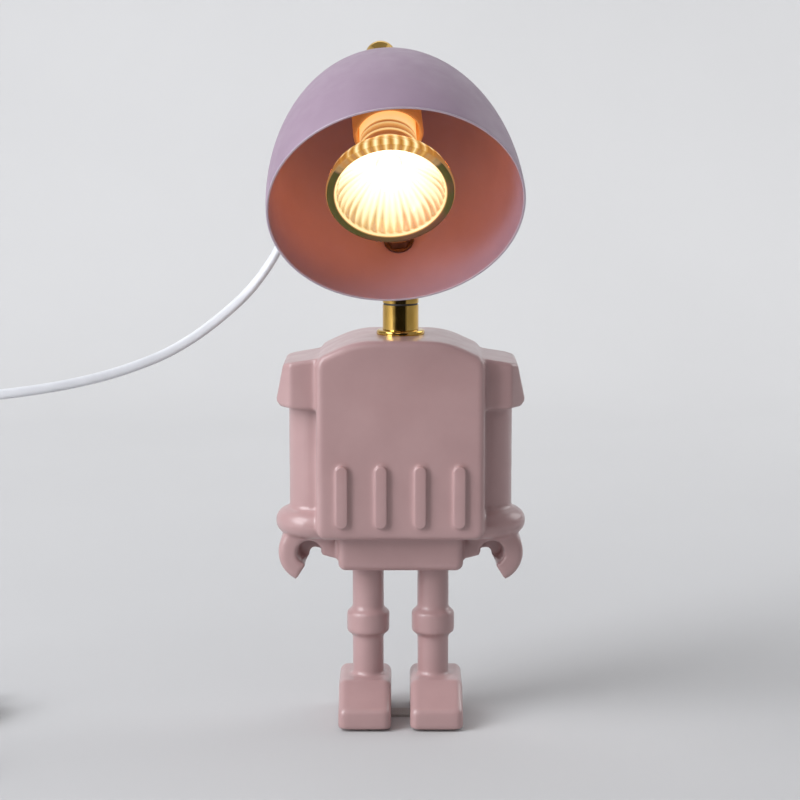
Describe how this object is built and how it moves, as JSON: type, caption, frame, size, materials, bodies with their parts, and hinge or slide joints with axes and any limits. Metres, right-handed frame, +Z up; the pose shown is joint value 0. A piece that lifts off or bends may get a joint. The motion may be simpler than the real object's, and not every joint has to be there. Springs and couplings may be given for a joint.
{
  "type": "desk lamp",
  "caption": "Free-standing desk lamp: a ceramic toy-robot figure whose head is a swivelling, tilting metal shade with a twin-pin reflector bulb; cord with rocker switch.",
  "frame": {"origin": "on the table plane, straight below the vertical axis of the brass neck", "axes": "+Z up; the figure looks along -Y; +X is its left hand, the right side of the picture"},
  "size_m": [0.3164, 0.1545, 0.2838],
  "materials": {
    "glaze": "satin",
    "felt": "matte",
    "brass": "polished",
    "steel": "satin",
    "spring_steel": "satin",
    "mauve_paint": "matte",
    "white_ceramic": "matte",
    "bulb_glass": "gloss",
    "white_plastic": "satin",
    "nylon": "satin"
  },
  "bodies": {
    "figure": {"ceramic_body": "glaze", "foot_pads": "felt", "neck_bush": "brass", "neck_nipple": "brass", "neck_flange": "brass", "neck_lower_collar": "brass", "swivel_screw": "steel", "cord_lower": "white_plastic", "cord_coil": "white_plastic", "switch_base": "white_plastic", "switch_cover": "white_plastic", "switch_screws": "steel", "switch_contacts": "brass", "plug_body": "white_plastic", "plug_relief": "white_plastic", "plug_pins": "steel"},
    "neck": {"seam_washer": "nylon", "neck_fork": "brass", "tilt_screw": "brass", "tilt_nut": "brass", "tilt_washer": "spring_steel", "cord_upper": "white_plastic"},
    "head": {"shade": "mauve_paint", "shade_stud": "brass", "stud_washer": "steel", "stud_nut": "brass", "bulb_reflector": "bulb_glass", "bulb_front_glass": "bulb_glass", "bulb_base": "white_ceramic", "bulb_pins": "steel", "bulb_capsule": "bulb_glass", "lampholder": "white_ceramic", "lampholder_contacts": "brass", "lampholder_screws": "steel", "holder_bracket": "steel", "crown_nipple": "steel", "crown_lock_nut": "steel", "crown_fitting": "brass", "cord_bushing": "white_plastic"},
    "rocker": {"switch_rocker": "white_plastic"}
  },
  "joints": [
    {"name": "neck_swivel", "type": "hinge", "parent": "figure", "child": "neck", "pos_m": [0, 0, 0.176], "axis": [0, 0, 1], "range_deg": [-60, 60], "deforming": ["cord_lower"]},
    {"name": "head_tilt", "type": "hinge", "parent": "neck", "child": "head", "pos_m": [0, 0, 0.1934], "axis": [0.9986, -0.0523, 0], "range_deg": [-60, 25], "deforming": ["cord_upper"]},
    {"name": "switch_rock", "type": "hinge", "parent": "figure", "child": "rocker", "pos_m": [-0.252, -0.035, 0.011], "axis": [1, 0, 0], "range_deg": [-14, 0]}
  ]
}
